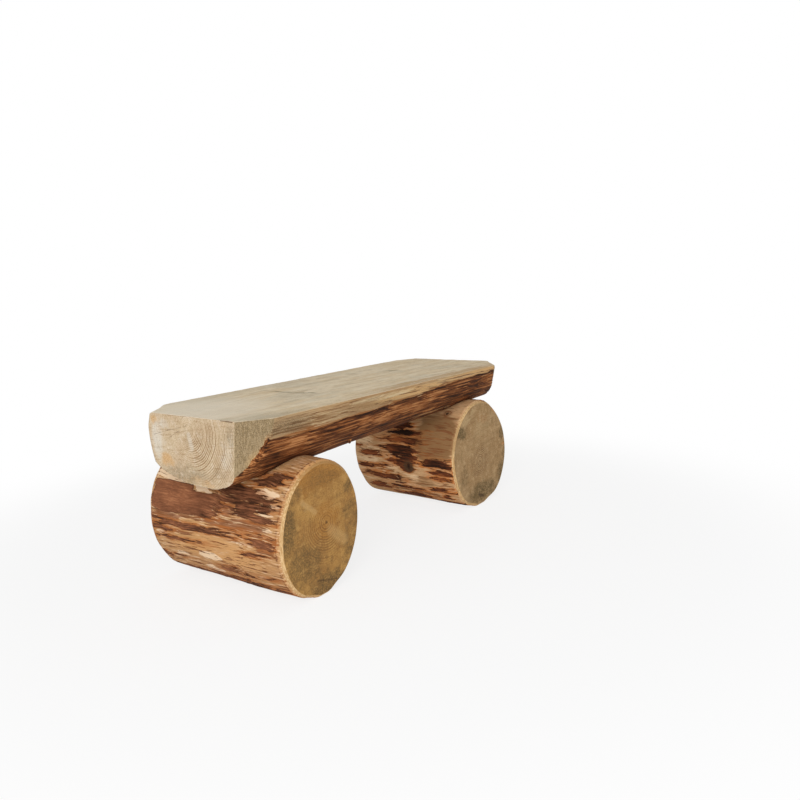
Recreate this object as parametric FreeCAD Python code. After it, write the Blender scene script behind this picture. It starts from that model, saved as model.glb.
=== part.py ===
import FreeCAD, Part
import math
import os

# Rustic log bench in millimetres. A flattened half log is the seat. It is
# scribed into saddle notches across the tops of two short round logs, which
# lie crosswise and stand on narrow sawn flats. X runs along the seat, Y runs
# front to back with the front at -Y, and Z is up from the floor.

# Seat log
seat_length = 1180.0
seat_height = 460.0
seat_width = 431.0
seat_butt_thickness = 163.0
seat_tip_thickness = 125.0
seat_log_inset = 6.0
side_facet_height = 40.0
side_facet_inset = 10.5
corner_undercut = 20.0
near_back_undercut = 8.0

# Corner cuts of the seat, each as its run along X and its run along Y
near_front_corner = (73.0, 52.0)
near_back_corner = (90.0, 70.0)
far_front_corner = (88.0, 80.0)
far_back_corner = (70.0, 40.0)

# Leg logs, as sizes at half length, the distance of each from its end of the
# seat, and the depth of its crown below the seat's top
left_leg_end_distance = 186.0
left_leg_length = 463.0
left_leg_width = 292.0
left_leg_crown_depth = 110.0
right_leg_end_distance = 180.0
right_leg_length = 403.0
right_leg_width = 340.0
right_leg_crown_depth = 110.0
leg_foot_cut = 3.0
leg_end_bevel = 9.0

# Fasteners driven up from the feet
screw_spacing = 160.0
screw_diameter = 12.0
screw_root_diameter = 9.0
screw_length = 300.0
screw_thread_length = 80.0
screw_grip = 62.0
screw_head_width = 19.0
screw_head_height = 8.0
washer_diameter = 37.0
washer_bore = 13.0
washer_thickness = 3.0
counterbore_diameter = 40.0

# Clearances
scribe_gap = 0.3
shank_clearance = 0.75
pilot_clearance = 0.1
cut_overrun = 60.0

# Shares of the sizes above: the depth of the seat's pith below the top, the
# reach of the hewing cut down its side, the swell of each leg at its front and
# back ends, and the outline of each section by angle, the seat's from its
# crown round by the front and the legs' from the keel round by the right
pith_depth_share = 0.178
side_cut_reach_share = 2.5
left_leg_swell_shares = (0.96, 1.04)
right_leg_swell_shares = (1.012, 0.988)
seat_outline_shares = (1.55, 1.31, 1.0, 1.0, 1.07, 0.97, 0.95, 0.98, 1.0, 1.31, 1.55)
left_front_shares = (1.0, 0.98, 0.995, 1.035, 1.045, 1.01, 0.985, 0.98, 0.99, 1.03, 1.04, 1.01)
left_back_shares = (1.0, 1.0, 1.0, 0.99, 0.98, 0.985, 0.99, 0.99, 1.035, 1.055, 1.045, 1.01)
right_front_shares = (1.0, 1.05, 1.03, 0.99, 0.95, 0.975, 1.0, 1.0, 1.01, 0.99, 1.015, 1.01)
right_back_shares = (1.0, 1.005, 1.0, 0.99, 0.97, 0.98, 0.99, 1.015, 1.025, 0.98, 0.98, 0.99)

left_leg_x = left_leg_end_distance - seat_length / 2
left_leg_top = seat_height - left_leg_crown_depth
right_leg_x = seat_length / 2 - right_leg_end_distance
right_leg_top = seat_height - right_leg_crown_depth

hex_sides = 6
crown = math.pi / 2
crown_opening = math.radians(30)
keel = -math.pi / 2
keel_opening = math.radians(8)
straight_turn = math.radians(0.05)
along_x = FreeCAD.Vector(1, 0, 0)
along_y = FreeCAD.Vector(0, 1, 0)
upward = FreeCAD.Vector(0, 0, 1)


def arc_along(first, heading, last):
    """Arc from first to last that leaves first along heading."""
    chord = last - first
    along = FreeCAD.Vector(chord).normalize()
    sideways = heading - along * heading.dot(along)
    turn = heading.getAngle(along)
    if turn < straight_turn:
        return Part.LineSegment(first, last).toShape()
    bulge = chord.Length / 2 * math.tan(turn / 2)
    middle = (first + last) * 0.5 + sideways.normalize() * bulge
    return Part.Arc(first, middle, last).toShape()


def arc_pair(first, heading, last, last_heading):
    """Two arcs from first to last that meet smoothly between them."""
    chord = last - first
    headings = heading + last_heading
    spread = 1 - heading.dot(last_heading)
    reach = chord.dot(headings)
    root = math.sqrt(reach ** 2 + 2 * spread * chord.dot(chord))
    arm = chord.dot(chord) / (reach + root)
    middle = (first + last + (heading - last_heading) * arm) * 0.5
    back_arc = arc_along(last, last_heading * -1, middle)
    return [arc_along(first, heading, middle), back_arc]


def smooth_edges(points):
    """Arcs through all points, with no corner where they meet."""
    headings = []
    for count in range(len(points)):
        before = points[max(count - 1, 0)]
        after = points[min(count + 1, len(points) - 1)]
        headings.append((after - before).normalize())
    edges = []
    for count in range(len(points) - 1):
        edges.extend(
            arc_pair(points[count], headings[count], points[count + 1], headings[count + 1])
        )
    return edges


def log_wire(centre, across, half_across, half_up, start, opening, shares):
    """One section of a log round its pith, as a smooth curve that starts and
    ends beside the angle start, and a chord that closes it there."""
    step = 2 * (math.pi - opening) / (len(shares) - 1)
    points = []
    for count, share in enumerate(shares):
        angle = start + opening + step * count
        sideways = across * (half_across * share * math.cos(angle))
        rise = upward * (half_up * share * math.sin(angle))
        points.append(centre + sideways + rise)
    chord = Part.LineSegment(points[-1], points[0])
    return Part.Wire(smooth_edges(points) + [chord.toShape()])


def blended(first_shares, last_shares, part):
    """Shares part of the way from one section outline to another."""
    pairs = zip(first_shares, last_shares)
    return [first + (last - first) * part for first, last in pairs]


def seat_thickness_at(x):
    """Depth of the seat under its sawn top, which follows the log's taper."""
    part = (x + seat_length / 2) / seat_length
    return seat_butt_thickness + (seat_tip_thickness - seat_butt_thickness) * part


def seat_log_form(grown):
    """The whole tapering log that the seat is sawn from, grown evenly outward."""
    underside_share = seat_outline_shares[len(seat_outline_shares) // 2]
    outline = (crown, crown_opening, seat_outline_shares)
    wires = []
    for x in (-seat_length / 2, seat_length / 2):
        thickness = seat_thickness_at(x)
        pith_depth = thickness * pith_depth_share
        centre = FreeCAD.Vector(x, 0, seat_height - pith_depth)
        half_across = seat_width / 2 - seat_log_inset + grown
        half_up = (thickness - pith_depth) / underside_share + grown
        wires.append(log_wire(centre, along_y, half_across, half_up, *outline))
    return Part.makeLoft(wires, True, True)


def top_cut():
    """Everything above the sawn top."""
    size_x = seat_length + 2 * cut_overrun
    size_y = seat_width + 2 * cut_overrun
    corner = FreeCAD.Vector(-size_x / 2, -size_y / 2, seat_height)
    return Part.makeBox(size_x, size_y, seat_width, corner)


def side_cut(side):
    """The strip hewn off one long side, leaning in as it goes down."""
    batter_share = side_facet_inset / side_facet_height
    edge = seat_width / 2
    depth = side_facet_height * side_cut_reach_share
    inner_top = edge + cut_overrun * batter_share
    inner_low = edge - depth * batter_share
    profile = [
        FreeCAD.Vector(0, side * inner_top, seat_height + cut_overrun),
        FreeCAD.Vector(0, side * inner_low, seat_height - depth),
        FreeCAD.Vector(0, side * (edge + cut_overrun), seat_height - depth),
        FreeCAD.Vector(0, side * (edge + cut_overrun), seat_height + cut_overrun),
    ]
    face = Part.Face(Part.makePolygon(profile + profile[:1]))
    face.translate(along_x * (-seat_length / 2 - cut_overrun))
    return face.extrude(along_x * (seat_length + 2 * cut_overrun))


def corner_triangle(end, side, corner, z, undercut):
    """Plan outline of a corner cut at height z."""
    run_x, run_y = corner
    grown = 1 + undercut / run_y
    stretch = 1 + cut_overrun / run_y
    tip_x = seat_length / 2
    tip_y = seat_width / 2
    along_side = FreeCAD.Vector(end * (tip_x - run_x * grown), side * tip_y, z)
    along_end = FreeCAD.Vector(end * tip_x, side * (tip_y - run_y * grown), z)
    middle = (along_side + along_end) * 0.5
    first = middle + (along_side - middle) * 2 * stretch
    second = middle + (along_end - middle) * 2 * stretch
    outer = FreeCAD.Vector(second.x, first.y, z)
    return Part.makePolygon([first, second, outer, first])


def corner_cut(end, side, corner, undercut):
    """The wedge sawn off one corner of the seat, which undercuts slightly."""
    rise = cut_overrun / seat_butt_thickness * undercut
    top = corner_triangle(end, side, corner, seat_height + cut_overrun, -rise)
    low_z = seat_height - seat_butt_thickness - cut_overrun
    low = corner_triangle(end, side, corner, low_z, undercut + rise)
    return Part.makeLoft([top, low], True, True)


def screw_places():
    """Node prefix, X, Y and tip height of every screw."""
    places = []
    for leg, x in (("left_leg", left_leg_x), ("right_leg", right_leg_x)):
        tip_z = seat_height - seat_thickness_at(x) + screw_grip
        places.append((leg + "_front", x, -screw_spacing / 2, tip_z))
        places.append((leg + "_back", x, screw_spacing / 2, tip_z))
    return places


def thread_root(x, y, tip_z, grown):
    """Root of the screw's thread, grown for the pilot hole."""
    return Part.makeCylinder(
        screw_root_diameter / 2 + grown,
        screw_length + grown,
        FreeCAD.Vector(x, y, tip_z - screw_length),
    )


def make_seat():
    seat = seat_log_form(0)
    seat = seat.cut(top_cut())
    for side in (-1, 1):
        seat = seat.cut(side_cut(side))
    corners = (
        (-1, -1, near_front_corner, corner_undercut),
        (-1, 1, near_back_corner, near_back_undercut),
        (1, -1, far_front_corner, corner_undercut),
        (1, 1, far_back_corner, corner_undercut),
    )
    for corner in corners:
        seat = seat.cut(corner_cut(*corner))
    for prefix, x, y, tip_z in screw_places():
        seat = seat.cut(thread_root(x, y, tip_z, pilot_clearance))
    return seat


def leg_log_form(x, length, width, top, swell_shares, front_shares, back_shares):
    """One leg as a tapering round log along Y with bevelled ends, before its
    foot is cut flat and its saddle is notched."""
    half_length = length / 2
    stations = [
        (-half_length, leg_end_bevel),
        (leg_end_bevel - half_length, 0),
        (0, 0),
        (half_length - leg_end_bevel, 0),
        (half_length, leg_end_bevel),
    ]
    front_swell, back_swell = swell_shares
    wires = []
    for y, inset in stations:
        part = (y + half_length) / length
        swell = front_swell + (back_swell - front_swell) * part
        half_up = (top + leg_foot_cut) / 2 * swell
        centre = FreeCAD.Vector(x, y, half_up - leg_foot_cut)
        shares = blended(front_shares, back_shares, part)
        half_across = width / 2 * swell - inset
        outline = (keel, keel_opening, shares)
        wires.append(log_wire(centre, along_x, half_across, half_up - inset, *outline))
    return Part.makeLoft(wires, True, True)


def foot_cut(x, length, width):
    """Everything below the floor."""
    size_x = width + 2 * cut_overrun
    size_y = length + 2 * cut_overrun
    corner = FreeCAD.Vector(x - size_x / 2, -size_y / 2, -cut_overrun)
    return Part.makeBox(size_x, size_y, cut_overrun, corner)


def counterbore_top(tip_z):
    """Height of the shoulder that the washer bears on."""
    return tip_z - screw_length + washer_thickness


def screw_bore(x, y, tip_z):
    """Counterbore from the foot and clearance hole for one screw."""
    shoulder = counterbore_top(tip_z)
    counterbore = Part.makeCylinder(
        counterbore_diameter / 2,
        shoulder + cut_overrun,
        FreeCAD.Vector(x, y, -cut_overrun),
    )
    hole = Part.makeCylinder(
        screw_diameter / 2 + shank_clearance,
        tip_z - shoulder,
        FreeCAD.Vector(x, y, shoulder),
    )
    return counterbore.fuse(hole)


def make_leg(prefix, x, length, width, top, swell_shares, front_shares, back_shares):
    leg = leg_log_form(x, length, width, top, swell_shares, front_shares, back_shares)
    leg = leg.cut(foot_cut(x, length, width))
    leg = leg.cut(seat_log_form(scribe_gap))
    for place, screw_x, y, tip_z in screw_places():
        if place.startswith(prefix):
            leg = leg.cut(screw_bore(screw_x, y, tip_z))
    return leg


def make_washer(x, y, tip_z):
    base = FreeCAD.Vector(x, y, counterbore_top(tip_z) - washer_thickness)
    disc = Part.makeCylinder(washer_diameter / 2, washer_thickness, base)
    return disc.cut(Part.makeCylinder(washer_bore / 2, washer_thickness, base))


def make_screw(x, y, tip_z):
    """Lag screw: hex head, plain shank that stops short of the seat and the
    root of its thread."""
    bearing_z = counterbore_top(tip_z) - washer_thickness
    corner_radius = screw_head_width / 2 / math.cos(math.pi / hex_sides)
    corners = []
    for step in range(hex_sides + 1):
        angle = 2 * math.pi / hex_sides * step
        corners.append(
            FreeCAD.Vector(
                x + corner_radius * math.cos(angle),
                y + corner_radius * math.sin(angle),
                bearing_z - screw_head_height,
            )
        )
    head = Part.Face(Part.makePolygon(corners)).extrude(upward * screw_head_height)
    shank = Part.makeCylinder(
        screw_diameter / 2,
        screw_length - screw_thread_length,
        FreeCAD.Vector(x, y, bearing_z),
    )
    return head.fuse([shank, thread_root(x, y, tip_z, 0)]).removeSplitter()


def main():
    os.makedirs("parts", exist_ok=True)
    nodes = {"seat_log": make_seat()}
    nodes["left_leg_log"] = make_leg(
        "left_leg",
        left_leg_x,
        left_leg_length,
        left_leg_width,
        left_leg_top,
        left_leg_swell_shares,
        left_front_shares,
        left_back_shares,
    )
    nodes["right_leg_log"] = make_leg(
        "right_leg",
        right_leg_x,
        right_leg_length,
        right_leg_width,
        right_leg_top,
        right_leg_swell_shares,
        right_front_shares,
        right_back_shares,
    )
    for prefix, x, y, tip_z in screw_places():
        nodes[prefix + "_washer"] = make_washer(x, y, tip_z)
        nodes[prefix + "_screw"] = make_screw(x, y, tip_z)
    for name, shape in nodes.items():
        shape.exportStep("parts/" + name + ".step")
        box = shape.BoundBox
        print(name, len(shape.Solids), shape.isValid(), round(shape.Volume))
        print("  x", round(box.XMin, 1), round(box.XMax, 1), "y", round(box.YMin, 1),
              round(box.YMax, 1), "z", round(box.ZMin, 1), round(box.ZMax, 1))


main()
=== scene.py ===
import math

import bpy
import numpy as np
from mathutils import Matrix, Vector
from mathutils.bvhtree import BVHTree


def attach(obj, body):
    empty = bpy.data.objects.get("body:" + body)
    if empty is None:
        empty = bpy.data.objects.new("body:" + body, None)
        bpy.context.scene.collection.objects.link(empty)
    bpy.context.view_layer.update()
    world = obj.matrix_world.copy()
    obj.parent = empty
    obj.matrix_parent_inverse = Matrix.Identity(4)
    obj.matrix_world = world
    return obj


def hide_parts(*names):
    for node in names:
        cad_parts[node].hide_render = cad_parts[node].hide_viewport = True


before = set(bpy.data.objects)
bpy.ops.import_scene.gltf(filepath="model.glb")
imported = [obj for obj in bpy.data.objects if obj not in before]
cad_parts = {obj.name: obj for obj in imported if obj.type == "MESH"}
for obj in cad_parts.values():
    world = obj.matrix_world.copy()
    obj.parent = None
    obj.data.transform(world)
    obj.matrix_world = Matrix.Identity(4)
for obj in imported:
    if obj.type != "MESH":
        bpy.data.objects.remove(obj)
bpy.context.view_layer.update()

MM = 0.001

# Rustic log bench. The three logs are remade as dense closed skins that are
# cast from the frame's solids and then given bark, hewing and wear. X runs
# along the seat, Y from front to back, Z up from the floor.

# View of the photograph
CAMERA_PLACE = Vector((-1.6564, -1.4098, 0.7545))
CAMERA_YAW = 0.93312
CAMERA_PITCH = 0.16232
CAMERA_ROLL = 0.04346
FOCAL_PIXELS = 738.0
FRAME_PIXELS = 800
SENSOR_MM = 36

# Places shared with the frame
LEFT_LEG_X = -0.404
RIGHT_LEG_X = 0.410
LEFT_LEG_HALF = 0.2315
RIGHT_LEG_HALF = 0.2015
SEAT_HALF = 0.590
SEAT_TOP = 0.460
SCREW_Y = 0.080
BORE_RADIUS = 0.020
BORE_MARGIN = 1.15  # how much wider than a bore the skin is filled before it is cut
PILOT_RADIUS = 0.009
CROWN_Z = 0.27  # the seat is near a leg only above this height
LEG_CENTRE_Z = 0.172
SEAT_CENTRE_Z = 0.400

SEAT_PITH = (0.0, 0.002, 0.427)
LEFT_PITH = (-0.388, 0.0, 0.180)
RIGHT_PITH = (0.404, 0.0, 0.150)

# How the logs are measured and how dense their skins are
RAY_REACH = 0.6  # rays start this far from a log's middle line
INSET = 2e-4  # and this far inside its ends and top
LEG_ROWS = 176
LEG_COLUMNS = 320
LEG_CAP_RINGS = 43
SEAT_ROWS = 300
TOP_COLUMNS = 86
LOW_COLUMNS = 196
SEAT_CAP_RINGS = 21
BORE_CORNERS = 40
LIGHT_TARGET = Vector((0, 0, 0.25))
FLOOR_HALF = 9
FLOOR_DROP = 0.0005
HIDDEN_PATCHES = 46  # on each leg's unseen side
NO_PATCH = -60.0  # depth, in millimetres, far from every patch
TINTS = ("pale", "gold", "mould")
LEG_SHEET = 1.14  # side of the square that holds a log's flat layout, in metres
SEAT_SHEET = 1.34


def srgb(red, green, blue):
    """Linear colour of a colour written from 0 to 255."""
    linear = []
    for value in (red, green, blue):
        share = value / 255
        linear.append(share / 12.92 if share <= 0.04045 else ((share + 0.055) / 1.055) ** 2.4)
    return (*linear, 1.0)


# Repeatable noise and fields on points


def hashed(cells, seed):
    """Repeatable value from -1 to 1 for each whole-number cell."""
    ix, iy, iz = (cells[..., axis].astype(np.int64) for axis in range(3))
    mixed = (ix * 73856093) ^ (iy * 19349663) ^ (iz * 83492791) ^ (seed * 2654435761)
    mixed = ((mixed ^ (mixed >> 13)) * 1274126177) & 0xFFFFFFFF
    mixed = ((mixed ^ (mixed >> 15)) * 668265263) & 0xFFFFFFFF
    return ((mixed ^ (mixed >> 16)) & 0xFFFF) / 32767.5 - 1


def noise(points, grain, seed, octaves=3):
    """Smooth noise, about -1 to 1, whose grain is given along X, Y and Z."""
    scaled = np.asarray(points) / np.asarray(grain)
    total = 0
    weight = 1
    for octave in range(octaves):
        place = scaled * 2**octave + 31.7 * (octave + 1)
        low = np.floor(place)
        share = place - low
        share = share**3 * (share * (share * 6 - 15) + 10)
        value = 0
        for corner in np.ndindex(2, 2, 2):
            part = np.where(corner, share, 1 - share).prod(axis=-1)
            value = value + part * hashed(low + corner, seed + octave)
        total = total + value * weight
        weight *= 0.5
    return total * 1.1


def smooth(value, low, high):
    """0 below low, 1 above high, and a soft step between."""
    share = np.clip((value - low) / (high - low), 0, 1)
    return share * share * (3 - 2 * share)


def ovals(along, across, patches, corner=2.0):
    """Depth inside the nearest of some ovals, in their own unit, and negative
    outside. A patch is centre, half sizes and, if any, tilt in degrees. A corner
    above 2 squares the ovals off."""
    depth = np.full(np.shape(along), NO_PATCH)
    for centre_a, centre_b, half_a, half_b, *tilt in patches:
        turn = math.radians(sum(tilt))
        gap_a = along - centre_a
        gap_b = across - centre_b
        side_a = np.abs(gap_a * math.cos(turn) + gap_b * math.sin(turn)) / half_a
        side_b = np.abs(gap_b * math.cos(turn) - gap_a * math.sin(turn)) / half_b
        reach = (side_a**corner + side_b**corner) ** (1 / corner)
        depth = np.maximum(depth, (1 - reach) * min(half_a, half_b))
    return depth


def washes(along, across, patches):
    """Soft tint from 0 to its amount, strongest at the middle of each oval. The
    amount is a patch's fifth value, before any tilt."""
    tint = np.zeros(np.shape(along))
    for *oval, amount, tilt in (patch if len(patch) > 5 else (*patch, 0) for patch in patches):
        depth = ovals(along, across, [(*oval, tilt)])
        tint = np.maximum(tint, amount * smooth(depth / min(oval[2:]), 0, 0.7))
    return tint


# Log skins


def placed(name, data):
    """New object in the scene."""
    thing = bpy.data.objects.new(name, data)
    bpy.context.scene.collection.objects.link(thing)
    return thing


def node_tree(node):
    """Search tree of the faces of one of the frame's pieces."""
    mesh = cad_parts[node].data
    corners = [vertex.co.copy() for vertex in mesh.vertices]
    return BVHTree.FromPolygons(corners, [tuple(face.vertices) for face in mesh.polygons])


def struck(tree, centre, heading):
    """Where a ray from outside towards a centre meets the solid, and how far
    the ray has run."""
    hit = tree.ray_cast(centre + heading * RAY_REACH, -heading)
    return hit[0], hit[3]


def cast_radius(tree, centres, outward):
    """Distance from each centre to the solid's outer face along each ray."""
    radius = np.zeros(outward.shape[:2])
    for row, centre in enumerate(centres):
        for column, way in enumerate(outward[row]):
            place, run = struck(tree, Vector(centre), Vector(way))
            radius[row, column] = RAY_REACH - run if place else 0
    return radius


def fill_columns(values, good):
    """Values along each column with the bad ones drawn from their neighbours."""
    rows = np.arange(len(values))
    for column in range(values.shape[1]):
        keep = good[:, column]
        if not keep.all():
            values[:, column] = np.interp(rows, rows[keep], values[keep, column])
    return values


def cast_skin(tree, axis, middle, stations, outward, bores):
    """Skin cast from a solid: a ring of points at each station of a middle line
    along an axis, with the mouths of the bores, each an X and a radius, filled."""
    half_length = abs(stations[0])
    centres = np.tile(np.array(middle, float), (len(stations), 1))
    centres[:, axis] = np.clip(stations, -half_length + INSET, half_length - INSET)
    radius = cast_radius(tree, centres, outward)
    x, y, z = np.moveaxis(centres[:, None] + outward * radius[..., None], -1, 0)
    good = np.ones(radius.shape, bool)
    for bore_x, bore in bores:
        near = (x - bore_x) ** 2 + (np.abs(y) - SCREW_Y) ** 2
        good &= (near > bore**2) | (z > SEAT_TOP - 0.001)
    radius = fill_columns(radius, good)
    centres[:, axis] = stations
    return softened(centres[:, None] + outward * radius[..., None], 2)


def softened(grid, passes):
    """Skin with its arrises rounded a little, at its two ends only round the log."""
    for _ in range(passes):
        ringed = (np.roll(grid, 1, 1) + 2 * grid + np.roll(grid, -1, 1)) / 4
        grid = ringed.copy()
        grid[1:-1] = (ringed[:-2] + 2 * ringed[1:-1] + ringed[2:]) / 4
    return grid


def skin_normals(grid):
    """Unit normals of a skin that closes on itself round its rings."""
    along = np.gradient(grid, axis=0)
    around = np.roll(grid, -1, 1) - np.roll(grid, 1, 1)
    normals = np.cross(around, along)
    return normals / (np.linalg.norm(normals, axis=-1, keepdims=True) + 1e-12)


def clustered(count, finest):
    """Places from 0 to 1, closer together towards both ends."""
    even = np.linspace(-1, 1, count)
    eased = even * (1 - finest) + np.sin(even * math.pi / 2) * finest
    return (eased + 1) / 2


class Log:
    """A log's skin with sawn caps at both ends, each waved and dished a little.
    Its points run ring by ring, and the centres of the two ends come last. Its
    reach is where its first end lies along the axis."""

    def __init__(self, skin, axis, middle, reach, cap, grain, seed, soft, dish):
        steps = np.linspace(0, 1, cap + 2)[1:-1]
        fade = smooth(steps, 0, soft)[:, None]
        caps, hubs = [], []
        for row, end in ((0, math.copysign(1, reach)), (-1, -math.copysign(1, reach))):
            hub = np.array(middle, float)
            hub[axis] = end * abs(reach)
            rings = hub + (skin[row] - hub) * (1 - steps**1.25)[:, None, None]
            wave = noise(rings, (0.05, 0.05, grain), seed, 3) * 0.6
            rings[..., axis] = end * (abs(reach) + (wave * 0.6 - dish) * fade * MM)
            hub[axis] -= end * dish * MM
            caps.append(rings)
            hubs.append(hub)
        self.cap = cap
        self.rings = np.concatenate([caps[0][::-1], skin, caps[1]])
        self.points = np.concatenate([self.rings.reshape(-1, 3), hubs])
        self.on_side = self.spread(np.ones(skin.shape[:2]), "constant") > 0

    def spread(self, values, mode="edge"):
        """Values of the skin carried on over the caps."""
        padded = np.pad(values, [(self.cap, self.cap), (0, 0)], mode=mode)
        return np.append(padded.reshape(-1), [0, 0])

    def fields(self, side, ends):
        """Fields of all points, from those of the skin and those of the ends."""
        fields = {key: self.spread(values) for key, values in side.items()}
        for key, values in ends.items():
            fields[key] = np.where(self.on_side, fields.get(key, 0), values)
        return fields

    def layout(self, cap_axes, cap_places):
        """Flat place, in metres, of each corner of each face: the side as one
        strip and each cap as a disc beside it."""
        count, columns = self.rings.shape[:2]
        cap = self.cap
        middle = self.rings.mean(axis=1)
        along = np.append(0, np.cumsum(np.linalg.norm(np.diff(middle, axis=0), axis=1)))
        along -= along[cap]
        broad = self.rings[cap + (count - 2 * cap) // 2]
        steps = np.linalg.norm(np.roll(broad, -1, 0) - broad, axis=1)
        around = np.append(0, np.cumsum(steps))
        strip = np.stack(np.broadcast_arrays(along[:, None], around[None]), -1)
        wrapped = np.concatenate([self.rings, self.rings[:, :1]], 1)[..., cap_axes]
        flat = strip.copy()
        hubs = []
        for row, place in zip((0, -1), cap_places):
            rows = slice(count - cap - 1, count) if row else slice(0, cap + 1)
            shift = np.array(place) - wrapped[rows].min(axis=(0, 1))
            flat[rows] = wrapped[rows] + shift
            hubs.append(middle[row][cap_axes] + shift)
        quads = np.zeros((count - 1, columns, 4, 2))
        for row in range(count - 1):
            source = strip if cap <= row < count - 1 - cap else flat
            low, high = source[row], source[row + 1]
            quads[row] = np.stack([low[:-1], low[1:], high[1:], high[:-1]], 1)
        low, high = flat[0], flat[-1]
        first, last = (np.broadcast_to(hub, low[1:].shape) for hub in hubs)
        fan_low = np.stack([first, low[1:], low[:-1]], 1)
        fan_high = np.stack([last, high[:-1], high[1:]], 1)
        return np.concatenate([part.reshape(-1, 2) for part in (quads, fan_low, fan_high)])


def log_piece(name, log, fields, materials, cap_axes, cap_places, sheet, top_columns=0):
    """Closed mesh of a log, with point fields, a flat UV layout, and materials
    for the side, the two ends and the sawn top."""
    count, columns = log.rings.shape[:2]
    cap = log.cap
    here = np.arange(columns)
    beside = (here + 1) % columns
    rows = np.arange(count - 1)[:, None] * columns
    lower, nexts = rows + here, rows + beside
    quads = np.stack([lower, nexts, nexts + columns, lower + columns], -1).reshape(-1, 4)
    hub = count * columns
    last = hub - columns
    fan_low = np.stack([np.full(columns, hub), beside, here], -1)
    fan_high = np.stack([np.full(columns, hub + 1), last + here, last + beside], -1)
    faces = quads.tolist() + fan_low.tolist() + fan_high.tolist()
    mesh = bpy.data.meshes.new(name)
    mesh.from_pydata(log.points.tolist(), [], faces)
    for key, values in fields.items():
        layer = mesh.attributes.new(key, "FLOAT", "POINT")
        layer.data.foreach_set("value", values.astype(np.float32))
    flat = log.layout(cap_axes, cap_places) / sheet
    mesh.uv_layers.new(name="OFBake").uv.foreach_set("vector", flat.ravel())
    slots = np.repeat((1, 0, 2, 1, 2), (cap, count - 1 - 2 * cap, cap, 1, 1))
    slots = np.repeat(slots[:, None], columns, 1)
    slots[cap: count - 1 - cap, :top_columns] = 3
    mesh.polygons.foreach_set("material_index", slots.ravel())
    mesh.polygons.foreach_set("use_smooth", np.ones(len(faces), bool))
    for material in materials:
        mesh.materials.append(material)
    return placed(name, mesh)


# Materials


class Graph:
    """Adds nodes to a node tree."""

    def __init__(self, tree):
        self.nodes = tree.nodes
        self.links = tree.links

    def add(self, kind, *inputs, **settings):
        """Node of a kind, with its inputs given in order."""
        node = self.nodes.new("ShaderNode" + kind)
        for key, value in settings.items():
            setattr(node, key, value)
        for index, value in enumerate(inputs):
            self.give(node.inputs[index], value)
        return node

    def give(self, socket, value):
        if isinstance(value, bpy.types.NodeSocket):
            self.links.new(value, socket)
        elif value is not None:
            socket.default_value = value

    def math(self, operation, first, second=0.0):
        return self.add("Math", first, second, operation=operation).outputs[0]

    def times(self, first, second):
        return self.math("MULTIPLY", first, second)

    def summed(self, *terms):
        """Sum of values, each with its weight."""
        total, *parts = (self.times(value, weight) for value, weight in terms)
        for part in parts:
            total = self.math("ADD", total, part)
        return total

    def vector(self, operation, *inputs):
        """Result of a vector operation, which for some kinds is a number."""
        number = operation in ("LENGTH", "DISTANCE", "DOT_PRODUCT")
        node = self.add("VectorMath", *inputs, operation=operation)
        return node.outputs["Value" if number else "Vector"]


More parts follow.
